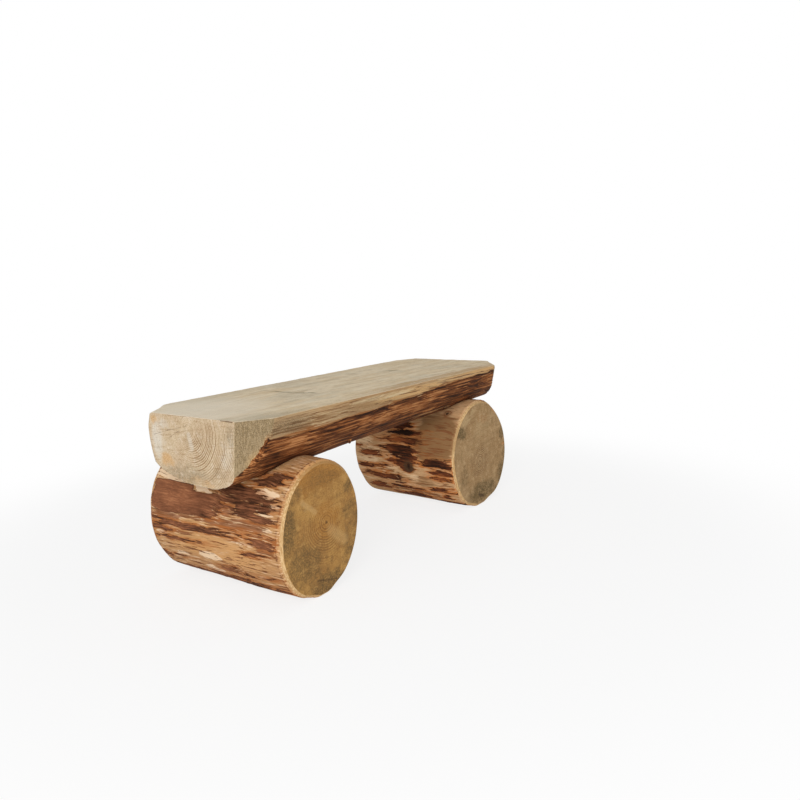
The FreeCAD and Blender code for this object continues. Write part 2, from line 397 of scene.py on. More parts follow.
class Shader(Graph):
    """Builds one node material on a Principled surface."""

    def __init__(self, name, colours=None, shine=0.25):
        self.colours = colours
        self.shine = shine
        self.material = bpy.data.materials.new(name)
        self.material.use_nodes = True
        super().__init__(self.material.node_tree)
        self.surface = self.nodes["Principled BSDF"]

    def place(self):
        return self.add("TexCoord").outputs["Object"]

    def field(self, name):
        return self.add("Attribute", attribute_name=name).outputs["Fac"]

    def stretched(self, place, scale):
        return self.vector("MULTIPLY", place, scale)

    def noise(self, place, scale, detail=4.0, rough=0.55, warp=0.0):
        node = self.add("TexNoise")
        keys = ("Vector", "Scale", "Detail", "Roughness", "Distortion")
        for key, value in zip(keys, (place, scale, detail, rough, warp)):
            self.give(node.inputs[key], value)
        return node.outputs[0]

    def streaks(self, place, grain, share, scale, detail=4.0, rough=0.6):
        """Noise drawn out along the grain."""
        stretch = [share if axis == grain else 1.0 for axis in range(3)]
        return self.noise(self.stretched(place, stretch), scale, detail, rough)

    def varied(self, value, *swings):
        """A value raised and lowered by noises that lie about one half, each
        with its amount."""
        for noise, amount in swings:
            swing = self.times(self.math("SUBTRACT", noise, 0.5), amount)
            value = self.math("ADD", value, swing)
        return value

    def segment(self, place, start, end, wander):
        """Distance from a slightly wandering line between two points."""
        bend = self.noise(place, 60, 3, 0.5)
        place = self.vector("SUBTRACT", place, start)
        run = Vector(end) - Vector(start)
        share = self.vector("DOT_PRODUCT", place, tuple(run / run.length_squared))
        share = self.math("MINIMUM", self.math("MAXIMUM", share, 0.0), 1.0)
        foot = self.vector("SCALE", tuple(run), None, None, share)
        gap = self.vector("DISTANCE", place, foot)
        return self.math("ABSOLUTE", self.varied(gap, (bend, wander)))

    def step(self, value, low, high, to_low=0.0, to_high=1.0):
        """Soft step of a value from low to high."""
        inputs = (value, low, high, to_low, to_high)
        return self.add("MapRange", *inputs, interpolation_type="SMOOTHSTEP").outputs[0]

    def blend(self, share, first, second):
        """Mix of two colours, the second one possibly by its palette name."""
        node = self.add("Mix", data_type="RGBA")
        self.give(node.inputs[0], share)
        self.give(node.inputs[6], first)
        self.give(node.inputs[7], self.colours[second] if isinstance(second, str) else second)
        return node.outputs[2]

    def layers(self, colour, *layers):
        """A colour with others over it, each by the soft step of a value from
        low to high and up to its share."""
        for value, low, high, share, key in layers:
            colour = self.blend(self.step(value, low, high, 0.0, share), colour, key)
        return colour

    def ramp(self, value, stops):
        node = self.add("ValToRGB", value)
        ramp = node.color_ramp
        while len(ramp.elements) < len(stops):
            ramp.elements.new(0.5)
        for element, (place, colour) in zip(ramp.elements, stops):
            element.position = place
            element.color = colour
        return node.outputs[0]

    def knot(self, place, centre, radius, halo_key, ring_key, colour):
        """A branch knot: dark heart, a ring round it and stained wood about,
        these two in colours of the palette."""
        gap = self.vector("DISTANCE", place, centre)
        gap = self.varied(gap, (self.noise(place, 70, 3, 0.5), radius))
        gap = self.math("DIVIDE", gap, radius)
        grit = self.step(self.noise(place, 300, 4, 0.65), 0.36, 0.56, 0.5, 1.0)
        colour = self.layers(colour, (gap, 1.7, 0.8, 0.55, halo_key))
        ring = self.times(self.step(gap, 0.55, 0.8), self.step(gap, 1.05, 0.8))
        colour = self.blend(self.times(ring, grit), colour, ring_key)
        heart = self.times(self.step(gap, 0.5, 0.25), grit)
        return self.blend(heart, colour, self.colours["bark"][-1][1])

    def finish(self, colour, rough, height, depth, distance=0.001):
        """Joins colour, roughness and relief to the surface."""
        bump = self.add("Bump")
        for node, key, value in (
            (bump, "Strength", depth),
            (bump, "Distance", distance),
            (bump, "Height", height),
            (self.surface, "Base Color", colour),
            (self.surface, "Roughness", rough),
            (self.surface, "Normal", bump.outputs[0]),
            (self.surface, "Specular IOR Level", self.shine),
        ):
            self.give(node.inputs[key], value)
        return self.material


def side_material(name, grain, colours, knots=()):
    """Peeled wood with remnants of inner bark, the grain along one axis.
    Fields: bark (mm inside a remnant), tone (its darkness), film (thin brown
    skin left on the wood), pale, gold and mould (tints of the wood), calm (how
    smooth a sheet of bark is), and cut (end fibre laid bare by a slanting cut).
    Some bark, tone, film and gold patches paint shade and some pale ones paint
    light, as noted where they are listed."""
    s = Shader(name, colours, 0.12)
    place = s.place()
    swing = s.math("SUBTRACT", s.noise(place, 8, 1, 0.5), 0.5)
    shift = s.vector("SCALE", (1.0, 1.0, 1.0), None, None, s.times(swing, colours["bend"]))
    place = s.vector("ADD", place, shift)
    draw = colours["draw"]
    coarse = s.streaks(place, grain, 0.10, 34, 5)
    tear = s.streaks(place, grain, draw, 140, 6, 0.65)
    strand = s.streaks(place, grain, draw * 0.8, 300, 4, 0.6)
    fine = s.streaks(place, grain, 0.05, 620, 4, 0.65)
    cloud = s.noise(place, 9, 4, 0.6)
    fleck = s.noise(place, 420, 4, 0.7)

    gold = s.step(s.varied(s.field("gold"), (tear, 2.0)), 0.25, 0.75, 0, 0.9)
    pale = s.varied(s.field("pale"), (tear, 2.4), (strand, 1.6))
    scratch = s.times(s.step(strand, 0.55, 0.61), s.step(tear, 0.50, 0.58, 0, 0.7))
    film = s.varied(s.field("film"), (tear, 3.2), (strand, 2.6))
    skin = [(0.36, "film"), (0.5, "film_dark"), (0.64, "line")]
    skin = s.ramp(strand, [(stop, colours[key]) for stop, key in skin])
    wood = s.layers(
        colours["wood"],
        (coarse, 0.40, 0.60, 1.0, "warm"),
        (strand, 0.52, 0.68, 0.5, "line"),
        (strand, 0.47, 0.35, 0.6, "pale"),
        (fine, 0.54, 0.68, 0.4, "line"),
    )
    wood = s.blend(gold, wood, "gold")
    wood = s.layers(wood, (pale, 0.35, 0.60, 1.0, "pale"))
    wood = s.blend(scratch, wood, "line")
    wood = s.layers(wood, (film, 0.40, 0.62, 0.92, skin))
    specks = s.step(fleck, 0.42, 0.58, 0.3, 1.0)
    wood = s.blend(s.times(s.field("mould"), specks), wood, "mould")

    upright = s.noise(s.stretched(place, [1.0, 1.0, 0.12]), 330, 4, 0.6)
    blotch = s.times(s.step(cloud, 0.35, 0.60, 0.25, 0.9), s.step(fleck, 0.47, 0.57))
    cut_wood = s.layers(
        colours["cut"],
        (upright, 0.40, 0.62, 1.0, "cut_dark"),
        (s.field("gold"), 0.1, 0.9, 0.75, "cut_gold"),
    )
    cut_wood = s.blend(s.times(blotch, colours["blotch"]), cut_wood, "mould")
    wood = s.blend(s.field("cut"), wood, cut_wood)

    lively = s.step(s.field("calm"), 0.0, 1.0, 1.0, 0.25)
    tears = ((tear, 26.0), (strand, 16.0), (fine, 6.0))
    tears = [(noise, s.times(lively, amount)) for noise, amount in tears]
    edge = s.varied(s.field("bark"), *tears)
    stain = s.times(s.step(edge, -9.0, -0.5), s.step(coarse, 0.35, 0.6, 0.25, 0.95))
    for limit in (
        s.step(s.field("cut"), 0.5, 0.1),
        s.step(s.field("calm"), 0.7, 0.1),
        s.step(gold, 0.0, 0.9, 1.0, colours["stain_on_gold"]),
    ):
        stain = s.times(stain, limit)
    wood = s.blend(stain, wood, "stain")
    swing = s.times(lively, colours["swing"])
    swings = ((tear, swing), (strand, swing), (fine, 1.2), (cloud, 1.2))
    bark = s.layers(
        s.ramp(s.varied(s.field("tone"), *swings), colours["bark"]),
        (fleck, 0.60, 0.72, 0.35, "stain"),
        # Darkest bark along each remnant's edge: partly the bark's own dark rim, partly painted
        # shade under its raised edge.
        (edge, 1.8, 0.2, 0.55, colours["bark"][-1][1]),
    )
    cover = s.step(edge, -0.3, 0.5)
    colour = s.blend(cover, wood, bark)
    for centre, radius, halo_key, ring_key in knots:
        colour = s.knot(place, centre, radius, halo_key, ring_key, colour)

    rough = s.step(strand, 0.3, 0.7, 0.88, 0.72)
    in_film = s.step(film, 0.4, 0.62)
    height = s.summed((tear, 1.6), (strand, 1.3), (fine, 0.6), (cover, 0.9), (in_film, 0.2))
    return s.finish(colour, rough, height, 1.0)


def end_material(name, grain, pith, colours, spacing, lines, cracks=()):
    """Sawn end grain with rings round the pith, rays and saw marks.
    Fields: rings (how clearly the rings show), pale, gold and mould. A crack
    is start, end, half width in metres and strength, below 0 for a pale ray."""
    s = Shader(name, colours)
    place = s.place()
    flat = [float(axis != grain) for axis in range(3)]
    in_plane = s.stretched(s.vector("SUBTRACT", place, pith), flat)
    wobble = s.noise(in_plane, 8, 3, 0.5)
    finer = s.noise(in_plane, 45, 3, 0.5)
    reach = s.times(s.vector("LENGTH", in_plane), s.step(wobble, 0.2, 0.8, 0.96, 1.04))
    reach = s.math("ADD", reach, s.times(finer, 0.0025))
    turns = s.math("DIVIDE", reach, spacing)
    phase = s.math("FRACT", turns)
    year_noise = s.add("TexWhiteNoise", noise_dimensions="1D")
    s.give(year_noise.inputs["W"], s.math("FLOOR", turns))
    dots = s.noise(place, 480, 4, 0.65)
    rings = s.times(s.step(phase, 0.35, 0.75), s.step(phase, 1.0, 0.88))
    for limit in (
        s.step(year_noise.outputs[0], 0.0, 1.0, 0.3, 1.0),
        s.step(dots, 0.34, 0.54, 0.35, 1.0),
        s.times(s.field("rings"), lines),
    ):
        rings = s.times(rings, limit)

    cloud = s.noise(in_plane, 13, 5, 0.6, 0.4)
    patch = s.noise(in_plane, 48, 5, 0.65)
    speck = s.noise(place, 300, 5, 0.7)
    saw_axes = [1.0, 1.0, 1.0]
    saw_axes[1 if grain == 0 else 0] = 0.06
    tilt = s.add("VectorRotate", in_plane, rotation_type="EULER_XYZ")
    s.give(tilt.inputs["Rotation"], (0.10, 0.0, 0.0) if grain == 0 else (0.0, 0.12, 0.0))
    saw = s.noise(s.stretched(tilt.outputs[0], saw_axes), 260, 4, 0.6)

    wood = s.layers(
        colours["wood"],
        (cloud, 0.38, 0.62, 1.0, "warm"),
        (patch, 0.50, 0.64, colours["mottle"], "dull"),
        (patch, 0.47, 0.36, colours["mottle"], "light"),
        (s.varied(s.field("pale"), (patch, 0.9)), 0.15, 0.85, 0.9, "pale"),
        (s.varied(s.field("gold"), (patch, 0.9)), 0.15, 0.85, 0.9, "gold"),
    )
    wood = s.layers(
        s.blend(rings, wood, "ring"),
        (saw, 0.53, 0.68, 0.5, "ring"),
        (speck, 0.53, 0.66, 0.65, "ring"),
        (speck, 0.46, 0.34, 0.4, "light"),
    )
    fleck = s.step(s.noise(place, 230, 5, 0.7), 0.36, 0.60, 0.25, 1.0)
    tint = s.step(s.varied(s.field("mould"), (patch, 0.8)), 0.0, 1.1)
    wood = s.blend(s.times(tint, fleck), wood, "mould")
    relief = [(saw, 1.1), (rings, 0.35), (speck, 0.8)]
    for start, end, half, strength in cracks:
        gap = s.segment(place, start, end, 0.0035)
        mark = s.step(gap, half, half * 0.3, 0, abs(strength))
        mark = s.times(mark, s.step(dots, 0.34, 0.50, 0.35, 1.0))
        wood = s.blend(mark, wood, "pale" if strength < 0 else "crack")
        if strength > 0:
            relief.append((mark, -1.2))
    rough = s.step(speck, 0.3, 0.7, 0.80, 0.92)
    return s.finish(wood, rough, s.summed(*relief), 1.0)


def top_material(name, colours):
    """Sawn top of the seat, weathered pale, with saw marks across it.
    Fields: pale, gold and mould, and mark (dark scars)."""
    s = Shader(name, colours)
    place = s.place()
    coarse = s.streaks(place, 0, 0.12, 26, 5)
    streak = s.streaks(place, 0, 0.05, 130, 6, 0.62)
    fibre = s.streaks(place, 0, 0.03, 520, 4, 0.65)
    cloud = s.noise(s.stretched(place, [0.6, 1.0, 1.0]), 9, 5, 0.6)
    blotch = s.noise(s.stretched(place, [0.5, 1.0, 1.0]), 42, 5, 0.65)
    fleck = s.noise(place, 320, 5, 0.7)
    across = s.noise(s.stretched(place, [1.0, 0.05, 1.0]), 150, 4, 0.6)
    wood = s.layers(
        colours["wood"],
        (coarse, 0.38, 0.62, 1.0, "warm"),
        (cloud, 0.46, 0.64, 0.65, "grey"),
        (blotch, 0.52, 0.66, 0.4, "line"),
        (blotch, 0.46, 0.34, 0.4, "pale"),
        (streak, 0.53, 0.68, 0.6, "line"),
        (streak, 0.45, 0.32, 0.5, "pale"),
        (s.varied(s.field("pale"), (blotch, 0.8)), 0.1, 0.9, 0.8, "pale"),
        (s.varied(s.field("gold"), (streak, 2.0)), 0.2, 0.8, 0.9, "gold"),
    )
    mould = s.times(s.field("mould"), s.step(fleck, 0.38, 0.64, 0.3, 1.0))
    wood = s.blend(mould, wood, "mould")
    mark = s.times(s.field("mark"), s.step(s.varied(across, (fleck, 0.6)), 0.38, 0.58))
    wood = s.layers(
        s.blend(mark, wood, "mould"),
        (fibre, 0.56, 0.70, 0.5, "line"),
        (fleck, 0.60, 0.72, 0.35, "mould"),
    )
    height = s.summed((fibre, 0.9), (across, 0.7), (streak, 1.0), (mark, -0.4))
    rough = s.step(streak, 0.3, 0.7, 0.88, 0.76)
    return s.finish(wood, rough, height, 0.8)


def steel_material(name):
    """Zinc plated steel, dulled in blotches."""
    s = Shader(name)
    place = s.place()
    cloud = s.noise(place, 160, 4, 0.6)
    fine = s.noise(place, 1400, 3, 0.6)
    colour = s.blend(s.step(cloud, 0.35, 0.7), srgb(178, 181, 184), srgb(139, 141, 140))
    s.surface.inputs["Metallic"].default_value = 0.9
    rough = s.step(cloud, 0.3, 0.7, 0.34, 0.55)
    return s.finish(colour, rough, fine, 0.15, 0.0005)


def palette(settings, bark=(), **colours):
    """Settings and linear colours by name. Bark lists the stops of a ramp, from
    thin and light to thick and dark. The settings are draw (thickness of fibres
    against their length), swing (how much bark varies), bend (how far the grain
    wanders), blotch (mould on slanting cuts), stain_on_gold (share of the bark's
    stain on golden wood) and mottle (how much sawn ends vary)."""
    linear = {key: srgb(*colour) for key, colour in colours.items()}
    if bark:
        linear["bark"] = [(stop, srgb(*colour)) for stop, *colour in bark]
    return {**settings, **linear}


LEFT_SIDE = palette(
    {"draw": 0.07, "swing": 2.2, "bend": 0.022, "blotch": 0.2, "stain_on_gold": 0.8},
    [(0.0, 178, 120, 82), (0.3, 142, 90, 60), (0.6, 114, 70, 46), (1.0, 62, 36, 20)],
    wood=(188, 142, 96), warm=(198, 150, 100), line=(112, 68, 38), pale=(238, 208, 172),
    gold=(206, 156, 102), film=(168, 118, 84), film_dark=(142, 94, 64), mould=(84, 62, 42),
    cut=(222, 188, 138), cut_dark=(192, 150, 98), cut_gold=(168, 122, 68),
    stain=(170, 102, 52),
)
RIGHT_SIDE = palette(
    {**LEFT_SIDE, "stain_on_gold": 0.35},
    [(0.0, 168, 98, 54), (0.35, 112, 61, 34), (0.7, 80, 43, 25), (1.0, 38, 22, 13)],
    # gold here is a dark olive tan, used by the large gold wash in RIGHT_MARKS as painted shade
    # under the seat's overhang.
    wood=(204, 160, 114), warm=(212, 170, 124), line=(128, 78, 44), gold=(142, 105, 67),
    pale=(236, 202, 158), cut_gold=(182, 146, 100), film=(164, 114, 70),
    film_dark=(136, 88, 54), stain=(196, 116, 54),
)
SEAT_SIDE = palette(
    {**LEFT_SIDE, "draw": 0.032, "swing": 2.8, "bend": 0.014, "blotch": 0.75},
    [(0.0, 184, 128, 80), (0.3, 145, 88, 47), (0.6, 101, 58, 31), (1.0, 46, 25, 13)],
    wood=(184, 152, 112), warm=(176, 140, 98), line=(120, 84, 54), pale=(214, 190, 150),
    gold=(208, 168, 116), film=(168, 132, 92), film_dark=(140, 104, 70), mould=(98, 82, 60),
    cut=(167, 146, 113), cut_dark=(144, 123, 90), cut_gold=(198, 162, 114),
    stain=(150, 94, 50),
)
SEAT_END = palette(
    {"mottle": 0.45},
    wood=(210, 189, 157), warm=(204, 180, 148), light=(228, 213, 190), dull=(190, 164, 128),
    ring=(150, 116, 78), pale=(226, 220, 206), gold=(212, 170, 118), mould=(124, 110, 86),
    crack=(104, 76, 50),
)
# Both leg end palettes are set darker than the wood's own colour: painted shade on the ends'
# faces.
LEFT_END_WITH_PAINTED_SHADE = palette(
    {"mottle": 0.65},
    wood=(174, 132, 72), warm=(162, 119, 64), light=(189, 147, 86), dull=(134, 101, 58),
    ring=(124, 86, 46), pale=(204, 168, 112), gold=(168, 117, 55), mould=(98, 77, 47),
    crack=(70, 50, 32),
)
RIGHT_END_WITH_PAINTED_SHADE = palette(
    {"mottle": 0.6},
    wood=(174, 143, 102), warm=(161, 129, 88), light=(192, 162, 120), dull=(144, 116, 78),
    ring=(128, 96, 62), pale=(200, 174, 130), gold=(200, 138, 86), mould=(92, 76, 46),
    crack=(70, 50, 32),
)
# The seat top's colours are raised a little above the wood's own pale colour: partly painted
# light on the top.
SEAT_TOP_COLOURS = palette(
    {},
    wood=(232, 215, 185), warm=(223, 201, 164), grey=(210, 198, 173), line=(186, 163, 128),
    pale=(240, 228, 206), gold=(198, 160, 112), mould=(136, 120, 92),
)

# Drying cracks and pale rays in the sawn ends: start, end, half width, strength
SEAT_CRACKS = (
    ((-0.59, 0.136, 0.405), (-0.59, 0.079, 0.420), 0.0013, 0.45),
    ((-0.59, 0.079, 0.420), (-0.59, 0.008, 0.436), 0.0010, 0.35),
    ((-0.59, 0.094, 0.393), (-0.59, 0.038, 0.4215), 0.0012, 0.45),
    ((-0.59, 0.0126, 0.4326), (-0.59, 0.0085, 0.404), 0.0011, 0.4),
    ((-0.59, 0.0020, 0.415), (-0.59, -0.006, 0.385), 0.0110, -0.4),
    ((-0.59, 0.101, 0.315), (-0.59, 0.099, 0.3145), 0.0042, 1.0),
    ((-0.59, -0.116, 0.4595), (-0.59, -0.155, 0.458), 0.0026, 0.8),
)
LEFT_CRACKS = (
    ((-0.386, -0.2315, 0.180), (-0.385, -0.2315, 0.179), 0.0035, 0.8),
    ((-0.466, -0.2315, 0.250), (-0.424, -0.2315, 0.216), 0.0100, -0.4),
    ((-0.374, -0.2315, 0.158), (-0.325, -0.2315, 0.118), 0.0210, -0.32),
    ((-0.313, -0.2315, 0.238), (-0.290, -0.2315, 0.258), 0.0034, 0.25),
    ((-0.322, -0.2315, 0.188), (-0.272, -0.2315, 0.199), 0.0026, 0.3),
    ((-0.430, -0.2315, 0.045), (-0.356, -0.2315, 0.025), 0.0028, 0.5),
)
RIGHT_CRACKS = (
    ((0.396, -0.2015, 0.036), (0.422, -0.2015, 0.027), 0.0080, 0.75),
    ((0.404, -0.2015, 0.150), (0.405, -0.2015, 0.149), 0.0025, 0.6),
)

# Leg logs

# Patches on the legs in millimetres: centre, half sizes, amount (not for bark and
# bare wood) and any tilt. Places on the sides are distances from the back end and
# round from the crown towards -X, and places on the ends are X and Z. Knots are
# place, radius in metres, and the colours of the wood round them and of their ring.
# From_y and radius tie these distances to the log, margin is the width of the rims
# without bark, and rim_line is the strength of a thin brown line beside them.
LEFT_MARKS = {
    "x": LEFT_LEG_X,
    "half_length": LEFT_LEG_HALF,
    "seed": 11,
    "bore_top": 0.068,
    "from_y": 0.2275,
    "radius": 0.1576,
    "sheets": [(128, 181, 119, 37)],
    "calm": [(100, 172, 170, 80, 1.7)],
    "margin": 15,
    "rim_line": 0.5,
    "bark": [
        (60, 214, 54, 10), (270, 160, 66, 12), (262, 186, 50, 10), (345, 165, 44, 34),
        (370, 148, 56, 5), (392, 166, 46, 8), (388, 193, 54, 9), (155, 250, 150, 8),
        (36, 268, 32, 6), (390, 236, 52, 4), (404, 258, 42, 12), (364, 293, 20, 4),
        (84, 292, 58, 4), (178, 288, 24, 3), (262, 354, 40, 7), (326, 358, 16, 4),
        (388, 353, 20, 3), (18, 352, 14, 8), (60, 350, 28, 4), (230, 399, 230, 8),
        # (300, 136): brown bark made darker still, partly painted shade where the seat shades the
        # leg.
        (320, 384, 110, 4), (396, 92, 50, 11, -18), (370, 78, 32, 5, -14), (300, 136, 66, 14),
        (404, 137, 36, 2),
    ],
    "bare": [
        (192, 151, 38, 6), (272, 191, 30, 7), (408, 157, 40, 2.5), (412, 181, 34, 4),
    ],
    "tones": [
        # (300, 138): deepens the bark at (300, 136), partly painted shade from the seat.
        (340, 166, 110, 40, 0.22), (300, 138, 70, 20, 0.25), (400, 88, 60, 20, 0.12, -18),
        (404, 258, 44, 18, 0.05), (198, 250, 150, 10, 0.12), (230, 400, 240, 18, 0.15),
    ],
    "light": [(110, 186, 96, 24, 0.10)],
    "film": [
        (240, 220, 250, 20, 0.85), (275, 186, 60, 30, 1.0), (300, 224, 150, 14, 1.1),
        (350, 214, 110, 24, 0.9), (110, 270, 120, 14, 0.5), (60, 234, 90, 16, 1.2),
        (400, 256, 70, 44, 0.9), (230, 330, 260, 100, 0.24), (230, 396, 260, 28, 0.75),
        (40, 356, 60, 30, 0.55), (280, 352, 90, 20, 0.6), (380, 82, 90, 26, 0.65, -14),
    ],
    "pale": [
        # (60, 131): pale lip below the seat, made paler still: painted light against the seat's
        # shade.
        (60, 131, 96, 19, 1.9), (192, 151, 40, 7, 1.6), (272, 191, 34, 9, 1.1),
        (412, 181, 38, 6, 1.2), (408, 157, 44, 4, 1.0), (385, 129, 54, 18, 1.3, -6),
        (96, 230, 28, 6, 1.2), (408, 216, 32, 7, 0.8), (28, 280, 24, 9, 1.0),
        (204, 323, 60, 14, 1.4), (96, 338, 50, 12, 0.8), (196, 369, 48, 14, 1.1),
        (330, 268, 60, 6, 0.5),
    ],
    "gold": [
        (230, 300, 240, 60, 0.7), (200, 270, 90, 14, 0.6), (330, 320, 110, 40, 0.6),
        (456, 0, 16, 130, 1.5),
    ],
    "mould": [(442, 115, 7, 5, 1.2)],
    "ends": {
        "rings": [(-402, 148, 104, 90, 1.4)],
        "pale": [(-441, 237, 50, 20, 0.25, -38), (-345, 140, 60, 34, 0.3, -40)],
        "gold": [(-386, 185, 90, 80, 0.6), (-400, 300, 130, 60, 0.9)],
        "mould": [
            # (-254, 164): dark band along the disc's rim, partly a dark rim of the wood and
            # partly painted shade.
            (-520, 205, 54, 100, 0.95), (-470, 96, 100, 80, 0.75, -25), (-254, 164, 30, 86, 1.1),
            (-300, 252, 44, 22, 0.7, 25), (-296, 190, 50, 30, 0.55), (-388, 20, 120, 56, 0.95),
            (-495, 280, 44, 36, 0.6), (-300, 84, 54, 60, 0.6), (-400, 335, 120, 20, 0.4),
            (-390, 290, 110, 44, 0.6), (-280, 120, 60, 90, 0.5),
        ],
    },
}
RIGHT_MARKS = {
    "x": RIGHT_LEG_X,
    "half_length": RIGHT_LEG_HALF,
    "seed": 23,
    "bore_top": 0.0943,
    "from_y": 0.1955,
    "radius": 0.170,
    "sheets": [],
    "calm": [],
    "margin": 9,
    "rim_line": 0.0,
    "knots": [(340, 107, 0.014, "film_dark", "line"), (224, 292, 0.019, "mould", "mould")],
    "bark": [
        (24, 236, 24, 5), (66, 259, 38, 10), (38, 306, 30, 8), (110, 343, 78, 10),
        # (176, 156): reddish brown bark, darkened further as painted shade where the seat shades
        # the leg; (196, 180) makes a near-black band below it.
        (75, 329, 32, 5), (72, 393, 42, 18), (176, 156, 50, 12), (196, 180, 70, 9),
        (188, 206, 72, 9), (192, 236, 62, 14), (198, 266, 60, 28), (222, 292, 28, 22),
        (262, 270, 16, 4), (340, 270, 56, 18), (354, 300, 42, 11), (350, 322, 36, 7),
        (318, 370, 42, 6, -8), (362, 374, 30, 3), (338, 399, 16, 11), (200, 382, 70, 4),
        # (190, 424) and (340, 440): dark patches along the leg's lower side, painted shade drawn
        # as bark.
        (160, 362, 30, 4), (190, 424, 80, 14), (340, 440, 54, 12), (110, 300, 30, 3),
    ],
    "bare": [(166, 262, 20, 5), (345, 284, 34, 4)],
    "tones": [
        # (190, 180) and (180, 152): the near-black band and the bark above it, the latter partly
        # painted shade from the seat.
        (200, 250, 64, 40, 0.5), (190, 180, 76, 14, 0.75), (180, 152, 60, 16, 0.35),
        # (190, 430): darkens the painted shade along the leg's lower side.
        (222, 292, 26, 20, 0.55), (340, 272, 64, 26, 0.4), (190, 430, 90, 20, 0.3),
    ],
    "light": [(176, 206, 66, 12, 0.35), (24, 236, 30, 8, 0.3), (352, 310, 40, 20, 0.15)],
    "film": [
        (210, 190, 90, 26, 1.0), (190, 250, 90, 60, 0.5), (345, 300, 64, 60, 0.6),
        # (290, 222): brown skin that darkens the wood, partly painted shade under the seat's
        # overhang.
        (290, 222, 110, 70, 0.4), (345, 190, 64, 3, 1.2), (100, 335, 110, 40, 0.5),
        (200, 400, 200, 40, 0.8), (330, 110, 60, 50, 0.35), (350, 170, 60, 50, 0.3),
    ],
    "pale": [
        # (40, 300) and (30, 214): paler wood on the left part of the leg, partly painted light
        # where the seat's shade falls.
        (40, 300, 80, 120, 0.65), (30, 214, 70, 28, 1.1), (64, 285, 50, 14, 1.2),
        (80, 243, 40, 6, 1.2), (152, 262, 20, 14, 0.9), (225, 328, 44, 24, 0.7),
        (150, 306, 44, 12, 0.9), (190, 366, 90, 9, 0.9),
    ],
    # (320, 190): olive tan wash, painted shade where the seat overhangs the leg.
    "gold": [(320, 190, 120, 120, 1.4), (270, 340, 90, 60, 0.5)],
    "mould": [(342, 152, 34, 5, 0.6), (270, 250, 30, 40, 0.2)],
    "ends": {
        "rings": [(410, 150, 90, 80, 1.4)],
        "pale": [(330, 300, 70, 30, 0.5, 25), (420, 260, 100, 50, 0.35), (400, 150, 60, 50, 0.3)],
        "gold": [
            (500, 306, 30, 14, 0.8, -30), (560, 172, 18, 16, 0.7), (430, 290, 80, 30, 0.3, -20),
        ],
        "mould": [
            (288, 262, 54, 34, 1.0), (305, 110, 36, 60, 0.5), (556, 220, 34, 34, 0.8),
            (550, 84, 44, 60, 0.8), (420, 44, 150, 54, 0.9), (566, 140, 18, 60, 0.6),
            (470, 270, 60, 30, 0.3),
        ],
    },
}


def leg_knots(name, marks):
    """A leg's knots with their centres put on its face."""
    tree = node_tree(name)
    found = []
    for along, around, size, halo, ring in marks["knots"]:
        turn = around * MM / marks["radius"]
        heading = Vector((-math.sin(turn), 0, math.cos(turn)))
        centre = Vector((marks["x"], marks["from_y"] - along * MM, LEG_CENTRE_Z))
        found.append((tuple(struck(tree, centre, heading)[0]), size, halo, ring))
    return found


right_knots = leg_knots("right_leg_log", RIGHT_MARKS)
left_side = side_material("left_leg_side", 1, LEFT_SIDE)
right_side = side_material("right_leg_side", 1, RIGHT_SIDE, right_knots)
seat_side = side_material("seat_side", 0, SEAT_SIDE)
left_end = end_material("left_leg_end", 1, LEFT_PITH, LEFT_END_WITH_PAINTED_SHADE, 0.0066, 0.75, LEFT_CRACKS)
right_end = end_material("right_leg_end", 1, RIGHT_PITH, RIGHT_END_WITH_PAINTED_SHADE, 0.0060, 1.2, RIGHT_CRACKS)
seat_end = end_material("seat_end", 0, SEAT_PITH, SEAT_END, 0.0050, 1.0, SEAT_CRACKS)
seat_top = top_material("seat_top", SEAT_TOP_COLOURS)
steel = steel_material("zinc_steel")


def random_patches(seed, count, along, across, half_along, half_across):
    """Remnants for the sides that the photograph doesn't show."""
    draw = np.random.default_rng(seed)
    ranges = (along, across, half_along, half_across, (-3, 3))
    return [tuple(draw.uniform(*span) for span in ranges) for _ in range(count)]


